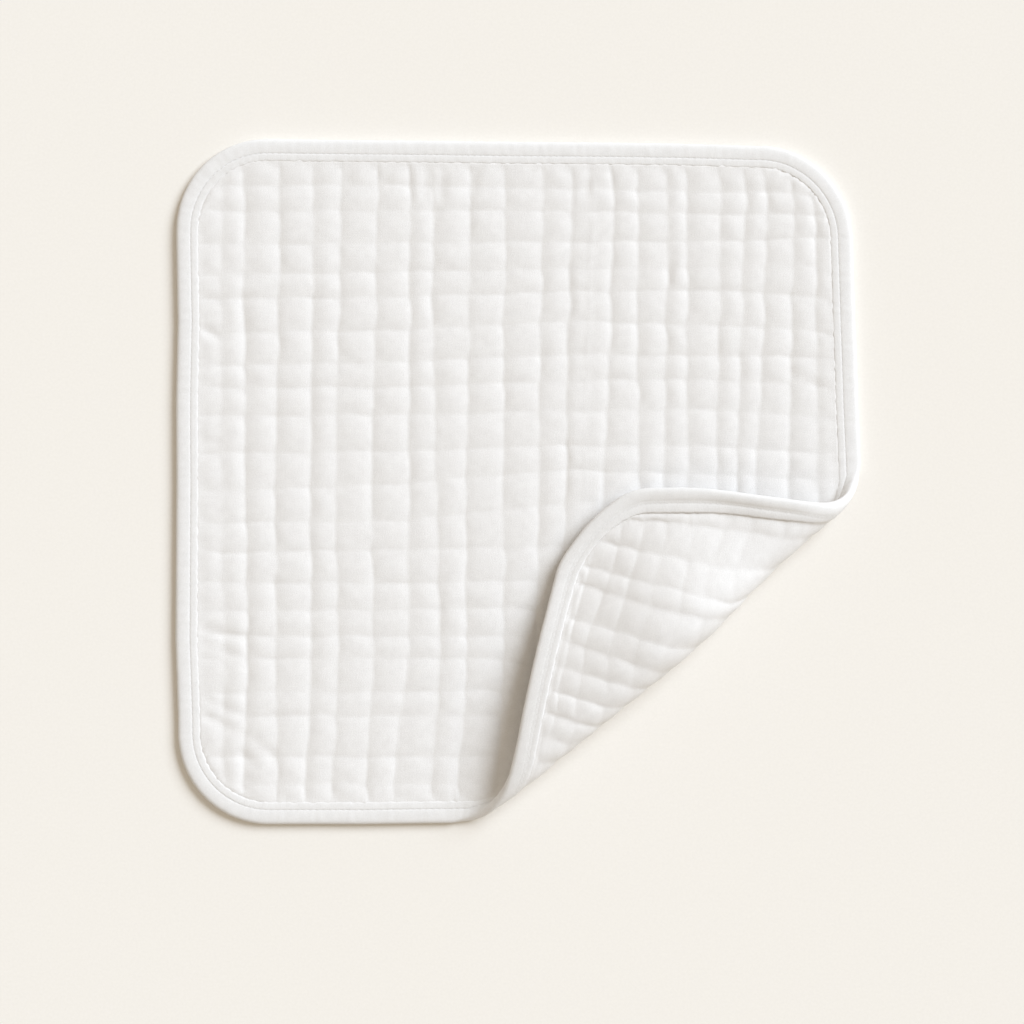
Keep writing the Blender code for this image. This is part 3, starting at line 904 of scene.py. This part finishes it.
# %% Sweep it round the cloth
INNER_FROM = 7.5  # mm of inset, where the tape's uneven inner edge begins
INNER_OVER = 2
INNER_UNEVENNESS = 0.16 * MM
INNER_WAVE_LENGTH = 3.7 * MM
BACK_LEG_BELOW = 0.7  # mm of height
BACK_WIDER_FROM = 6.2  # mm of inset, where the back leg begins to widen on the flap
BACK_WIDER_OVER = 1.5
BACK_WIDENING = 1.2 * MM
ON_FLAP_FROM = 20 * MM  # past the lift line, where the back leg begins to bulge
ON_FLAP_OVER = 30 * MM
FLAT_SIDE_BULGE = 0.2
FLAT_SIDE_LENGTH = 60 * MM
RING_MERGE = 0.002 * MM


def tape_rings():
    """Flat place of each ring point: stations along the outline, lines of the section."""
    stations = STITCH_COUNT * RINGS_PER_STITCH
    place = np.arange(stations) * STITCH_PITCH / RINGS_PER_STITCH
    core_x, core_y, out_x, out_y = outline_point(place)
    _, run = fold_place(core_x + out_x * CORNER_RADIUS, core_y + out_y * CORNER_RADIUS)
    up_the_side = core_y + out_y * CORNER_RADIUS + HALF
    rounded = FLAT_SIDE_BULGE + (1 - FLAT_SIDE_BULGE) * ease(up_the_side / FLAT_SIDE_LENGTH)
    on_flap = ease((run - ON_FLAP_FROM) / ON_FLAP_OVER) * rounded
    rings = np.zeros((stations, len(TAPE_SECTION), 3))
    for line, row in enumerate(TAPE_SECTION):
        nearness = ease((row[0] - INNER_FROM) / INNER_OVER)
        wave = waver(place, INNER_WAVE_LENGTH, 6)
        inset = row[0] * MM + INNER_UNEVENNESS * nearness * wave
        if row[1] < BACK_LEG_BELOW:
            wider = ease((row[0] - BACK_WIDER_FROM) / BACK_WIDER_OVER)
            inset = inset + BACK_WIDENING * on_flap * wider
        reach = CORNER_RADIUS - inset
        rings[:, line, 0] = core_x + out_x * reach
        rings[:, line, 1] = core_y + out_y * reach
        rings[:, line, 2] = tape_height(place, row, on_flap)
    return rings


def sweep_tape():
    """The tape as a ring of mesh: a grid whose columns are stations and whose rows are lines."""
    rings = tape_rings()
    stations, lines = rings.shape[:2]
    bm = bmesh.new()
    bmesh.ops.create_grid(bm, x_segments=stations, y_segments=lines, size=1.0)
    flat_map = bm.loops.layers.uv.new("flat")
    grid_place = {}
    for vert in bm.verts:
        i = round((vert.co.x + 1) / 2 * stations)
        j = round((vert.co.y + 1) / 2 * lines)
        grid_place[vert] = (i, j)
    closed_section = np.array([row[:2] for row in TAPE_SECTION + TAPE_SECTION[:1]])
    steps_across = np.hypot(*np.diff(closed_section, axis=0).T)
    run_across = np.concatenate([[0], np.cumsum(steps_across)]) * MM
    for face in bm.faces:
        for loop in face.loops:
            i, j = grid_place[loop.vert]
            loop[flat_map].uv = (i * STITCH_PITCH / RINGS_PER_STITCH, run_across[j])
    for vert, (i, j) in grid_place.items():
        vert.co = rings[i % stations, j % lines]
    bmesh.ops.remove_doubles(bm, verts=bm.verts[:], dist=RING_MERGE)
    return bm


tape = finish_piece(sweep_tape(), "binding_tape")
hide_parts("binding")

# %% [markdown]
# ## The sewing thread
# The tape is held by small stitches in its groove. On the back, which shows on the turned
# corner, two lines of them run side by side. Each stitch is a short drop of thread that
# dives into a hole at both ends. It is one low sphere, stretched, and set again and again.

# %% Stitches
THREAD_RADIUS = 0.11 * MM
STITCH_LENGTH = 0.72 * STITCH_PITCH
STITCH_SKEW = 0.04
SKEW_VARIETY = 0.05
STITCH_LINES = (
    # inset mm, height mm, where the line starts in stitches
    (6.40, 3.68, 0.5),
    (5.10, 0.06, 0.5),
    (6.10, 0.06, 0.0),
)


def sew(stitch_line):
    """One line of stitches round the cloth, still flat."""
    inset, height, offset = stitch_line
    bm = bmesh.new()
    for k in range(STITCH_COUNT):
        place = (k + offset) * STITCH_PITCH % OUTLINE_LENGTH
        core_x, core_y, out_x, out_y = (float(value) for value in outline_point(place))
        reach = CORNER_RADIUS - inset * MM
        middle = Vector((core_x + out_x * reach, core_y + out_y * reach, height * MM))
        skew = SKEW_VARIETY * math.sin(2.3 * k) + STITCH_SKEW
        turn = Matrix.Rotation(math.atan2(out_x, -out_y) + skew, 4, "Z")
        size = Matrix.Diagonal((STITCH_LENGTH / 2, THREAD_RADIUS, THREAD_RADIUS, 1))
        shape = Matrix.Translation(middle) @ turn @ size
        bmesh.ops.create_uvsphere(bm, u_segments=6, v_segments=4, radius=1, matrix=shape)
    return bm


thread = bmesh.new()
for stitch_line in STITCH_LINES:
    line_mesh = bpy.data.meshes.new("stitch line")
    line_bm = sew(stitch_line)
    line_bm.to_mesh(line_mesh)
    line_bm.free()
    thread.from_mesh(line_mesh)
    bpy.data.meshes.remove(line_mesh)
stitches = finish_piece(thread, "binding_stitches")

# %% [markdown]
# ## Cotton
# Both fabrics are plain white cotton, dull, with a soft fuzz that catches light at a
# glancing angle. The gauze is an open plain weave of uneven threads, and the tape is a
# closer one. An image of cloth would repeat and blur close up, so the weave is worked out
# from the flat place of each point, kept in the UV map, and bends with the cloth.


# %% Helpers for nodes and materials
def new_group(name, inputs, outputs):
    """An empty shader node group with the given float or vector sockets."""
    group = bpy.data.node_groups.new(name, "ShaderNodeTree")
    for socket, kind, value in inputs:
        item = group.interface.new_socket(socket, in_out="INPUT", socket_type=kind)
        if value is not None:
            item.default_value = value
    for socket, kind in outputs:
        group.interface.new_socket(socket, in_out="OUTPUT", socket_type=kind)
    return group, group.nodes.new("NodeGroupInput"), group.nodes.new("NodeGroupOutput")


def math_node(tree, operation, first, second=None):
    """A math node whose inputs are sockets or plain numbers; returns its output."""
    node = tree.nodes.new("ShaderNodeMath")
    node.operation = operation
    for socket, value in zip(node.inputs, (first, second)):
        if isinstance(value, (int, float)):
            socket.default_value = value
        elif value is not None:
            tree.links.new(value, socket)
    return node.outputs[0]


def noise_node(tree, place, scale, detail=2.0):
    """Noise from 0 to 1 at a place given in metres; scale is in bumps for each metre."""
    node = tree.nodes.new("ShaderNodeTexNoise")
    node.inputs["Scale"].default_value = scale
    node.inputs["Detail"].default_value = detail
    tree.links.new(place, node.inputs["Vector"])
    return node.outputs["Fac"]


def new_material(name, roughness):
    """A material with its node tree and its shader, which has the given roughness."""
    material = bpy.data.materials.new(name)
    material.use_nodes = True
    shader = material.node_tree.nodes["Principled BSDF"]
    shader.inputs["Roughness"].default_value = roughness
    return material, material.node_tree, shader


def colour_from(tree, factor, dark, light, shader, start=0.0, end=1.0):
    """Let the shader's colour go from dark to light as the factor goes from start to end."""
    ramp = tree.nodes.new("ShaderNodeValToRGB")
    for stop, position, colour in zip(ramp.color_ramp.elements, (start, end), (dark, light)):
        stop.position = position
        stop.color = (*colour, 1)
    tree.links.new(factor, ramp.inputs["Fac"])
    tree.links.new(ramp.outputs["Color"], shader.inputs["Base Color"])


# %% The plain weave and the grain, shared by both fabrics
FLOAT, VECTOR = "NodeSocketFloat", "NodeSocketVector"
SWAY_BUMPS = 420.0  # for each metre, as the other two
FINE_BUMPS = 1500.0
COARSE_BUMPS = 260.0
GRAIN_DETAIL = 3.0
SWAY = 9.0


def make_weave_group():
    """Plain weave of round threads, over and under, with uneven spacing."""
    group, given, result = new_group(
        "plain weave",
        [
            ("Place", VECTOR, None),
            ("Threads per metre", FLOAT, 1700.0),
            ("Unevenness", FLOAT, 0.8),
        ],
        [("Height", FLOAT)],
    )
    place = given.outputs["Place"]
    count = given.outputs["Threads per metre"]
    split = group.nodes.new("ShaderNodeSeparateXYZ")
    group.links.new(place, split.inputs[0])
    noise = noise_node(group, place, SWAY_BUMPS, GRAIN_DETAIL)
    sway = math_node(group, "SUBTRACT", noise, 0.5)
    sway = math_node(group, "MULTIPLY", sway, given.outputs["Unevenness"])
    sway = math_node(group, "MULTIPLY", sway, SWAY)
    waves = []
    for axis in (0, 1):
        turns = math_node(group, "MULTIPLY", split.outputs[axis], count)
        angle = math_node(group, "MULTIPLY_ADD", turns, math.pi)
        group.links.new(sway, angle.node.inputs[2])
        waves.append(math_node(group, "SINE", angle))
    over = math_node(group, "GREATER_THAN", math_node(group, "MULTIPLY", *waves), 0.0)
    under = math_node(group, "SUBTRACT", 1.0, over)
    warp = math_node(group, "MULTIPLY", math_node(group, "ABSOLUTE", waves[0]), over)
    weft = math_node(group, "MULTIPLY", math_node(group, "ABSOLUTE", waves[1]), under)
    group.links.new(math_node(group, "ADD", warp, weft), result.inputs["Height"])
    return group


def make_fuzz_group():
    """Soft uneven grain of cotton: clumps of thread and the nap between them."""
    group, given, result = new_group(
        "cotton grain", [("Place", VECTOR, None)], [("Fine", FLOAT), ("Coarse", FLOAT)]
    )
    place = given.outputs["Place"]
    for bumps, output in ((FINE_BUMPS, "Fine"), (COARSE_BUMPS, "Coarse")):
        noise = noise_node(group, place, bumps, GRAIN_DETAIL)
        group.links.new(noise, result.inputs[output])
    return group


weave_group = make_weave_group()
fuzz_group = make_fuzz_group()
print("node groups:", weave_group.name, "and", fuzz_group.name)

# %% Cotton materials
MUSLIN_LIGHT = (0.895, 0.880, 0.862)
MUSLIN_DARK = (0.812, 0.795, 0.776)
TAPE_LIGHT = (0.900, 0.888, 0.872)
TAPE_DARK = (0.812, 0.800, 0.784)
FINE_SHARE = 0.55
COARSE_SHARE = 0.45
WEAVE_SHARE = 0.6
RELIEF_DEPTH = 0.12 * MM


def cotton(name, light, dark, weave_count, unevenness_of_weave, bump):
    """White cotton: colour wanders from dark to light with the grain, relief from the weave."""
    material, tree, shader = new_material(name, roughness=0.95)
    shader.inputs["Specular IOR Level"].default_value = 0.2
    shader.inputs["Sheen Weight"].default_value = 0.08
    shader.inputs["Sheen Roughness"].default_value = 0.6
    flat = tree.nodes.new("ShaderNodeUVMap")
    flat.uv_map = "flat"
    place = flat.outputs["UV"]
    weave = tree.nodes.new("ShaderNodeGroup")
    weave.node_tree = weave_group
    weave.inputs["Threads per metre"].default_value = weave_count
    weave.inputs["Unevenness"].default_value = unevenness_of_weave
    tree.links.new(place, weave.inputs["Place"])
    fuzz = tree.nodes.new("ShaderNodeGroup")
    fuzz.node_tree = fuzz_group
    tree.links.new(place, fuzz.inputs["Place"])
    fine = math_node(tree, "MULTIPLY", fuzz.outputs["Fine"], FINE_SHARE)
    coarse = math_node(tree, "MULTIPLY", fuzz.outputs["Coarse"], COARSE_SHARE)
    grain = math_node(tree, "ADD", fine, coarse)
    colour_from(tree, grain, dark, light, shader, start=0.3, end=0.7)
    relief = math_node(tree, "MULTIPLY", weave.outputs["Height"], WEAVE_SHARE)
    relief = math_node(tree, "ADD", relief, fuzz.outputs["Fine"])
    bump_node = tree.nodes.new("ShaderNodeBump")
    bump_node.inputs["Strength"].default_value = bump
    bump_node.inputs["Distance"].default_value = RELIEF_DEPTH
    tree.links.new(relief, bump_node.inputs["Height"])
    tree.links.new(bump_node.outputs["Normal"], shader.inputs["Normal"])
    return material


muslin_material = cotton(
    "muslin", MUSLIN_LIGHT, MUSLIN_DARK, weave_count=1750.0, unevenness_of_weave=1.0, bump=0.55
)
tape_material = cotton(
    "binding tape", TAPE_LIGHT, TAPE_DARK, weave_count=2500.0, unevenness_of_weave=0.6, bump=0.5
)
muslin.data.materials.append(muslin_material)
tape.data.materials.append(tape_material)
print("fabrics:", muslin_material.name, "and", tape_material.name)

# %% [markdown]
# ## Thread
# Sewing thread is spun harder than the cloth's yarn, so it is a little smoother, and its
# twist shows as slanted bands of light and shade. Modelling its plies would cost many faces
# for something finer than a pixel of the picture, so a wave texture paints those bands into
# the thread's colour as painted shade.

# %% Sewing thread
# painted shade: the thread's white on its lit plies, and darker where shade falls between them
THREAD_SHADED_PLY = (0.72, 0.71, 0.70)
THREAD_LIT_PLY = (0.86, 0.855, 0.845)


def twisted_thread():
    """White sewing thread, with the shade between its twisted plies painted as slanted bands."""
    material, tree, shader = new_material("sewing thread", roughness=0.75)
    coordinates = tree.nodes.new("ShaderNodeTexCoord")
    # painted shade: the wave's dark bands stand for the shade between the twisted plies
    twist = tree.nodes.new("ShaderNodeTexWave")
    twist.bands_direction = "DIAGONAL"
    twist.inputs["Scale"].default_value = 900.0
    twist.inputs["Distortion"].default_value = 1.0
    tree.links.new(coordinates.outputs["Object"], twist.inputs["Vector"])
    colour_from(tree, twist.outputs["Fac"], THREAD_SHADED_PLY, THREAD_LIT_PLY, shader)
    return material


stitches.data.materials.append(twisted_thread())
print("thread:", stitches.data.materials[0].name)

# %% [markdown]
# ## The surface, the light and the camera
# The cloth lies on a plain warm white surface. One soft lamp stands at the upper right,
# 37 degrees up, and the room's warm light fills the shadows. The camera looks straight
# down from far enough for the cloth to keep its true outline.

# %% Surface
FLOOR_SIZE = 6.0
FLOOR_DROP = 0.15 * MM
FLOOR_DARK = (0.866, 0.831, 0.771)
FLOOR_LIGHT = (0.924, 0.889, 0.829)
FLOOR_BUMPS = 900.0


def make_floor():
    """A wide matte surface just under the cloth."""
    bm = bmesh.new()
    place = Matrix.Translation((0, 0, -FLOOR_DROP))
    bmesh.ops.create_grid(bm, x_segments=1, y_segments=1, size=FLOOR_SIZE / 2, matrix=place)
    mesh = bpy.data.meshes.new("surface")
    bm.to_mesh(mesh)
    bm.free()
    floor = bpy.data.objects.new("surface", mesh)
    bpy.context.scene.collection.objects.link(floor)
    material, tree, shader = new_material("matte surface", roughness=0.9)
    shader.inputs["Specular IOR Level"].default_value = 0.1
    coordinates = tree.nodes.new("ShaderNodeTexCoord")
    grain = noise_node(tree, coordinates.outputs["Object"], FLOOR_BUMPS)
    colour_from(tree, grain, FLOOR_DARK, FLOOR_LIGHT, shader)
    mesh.materials.append(material)
    return floor


print("surface:", make_floor().name)

# %% Light
KEY_SIDE = (0.80, 0.60)
KEY_ELEVATION = math.radians(37)
KEY_SOFTNESS = math.radians(35)
KEY_COLOUR = (0.803, 0.888, 1.0)
KEY_STRENGTH = 3.445
FILL_COLOUR = (1.0, 0.885, 0.735)
FILL_STRENGTH = 0.49

key_data = bpy.data.lights.new("key", "SUN")
key_data.energy = KEY_STRENGTH
key_data.color = KEY_COLOUR
key_data.angle = KEY_SOFTNESS
key = bpy.data.objects.new("key", key_data)
shine = Vector((
    -KEY_SIDE[0] * math.cos(KEY_ELEVATION),
    -KEY_SIDE[1] * math.cos(KEY_ELEVATION),
    -math.sin(KEY_ELEVATION),
))
key.rotation_euler = shine.to_track_quat("-Z", "Y").to_euler()
bpy.context.scene.collection.objects.link(key)

world = bpy.data.worlds.new("room")
world.use_nodes = True
world.node_tree.nodes["Background"].inputs["Color"].default_value = (*FILL_COLOUR, 1)
world.node_tree.nodes["Background"].inputs["Strength"].default_value = FILL_STRENGTH
bpy.context.scene.world = world
bpy.context.scene.view_settings.view_transform = "Standard"
print(f"lamp {math.degrees(KEY_ELEVATION):.0f} degrees up")

# %% Camera
CAMERA_HEIGHT = 1.5
VIEW_WIDTH = 451.6 * MM
VIEW_MIDDLE = (-2.9 * MM, -13.4 * MM)
SENSOR = 36.0

camera_data = bpy.data.cameras.new("camera")
camera_data.sensor_width = SENSOR
camera_data.lens = SENSOR * CAMERA_HEIGHT / VIEW_WIDTH
camera_data.clip_end = 10
camera = bpy.data.objects.new("camera", camera_data)
camera.location = (*VIEW_MIDDLE, CAMERA_HEIGHT)
bpy.context.scene.collection.objects.link(camera)
bpy.context.scene.camera = camera
print(f"camera {CAMERA_HEIGHT} m up, lens {camera_data.lens:.0f} mm")
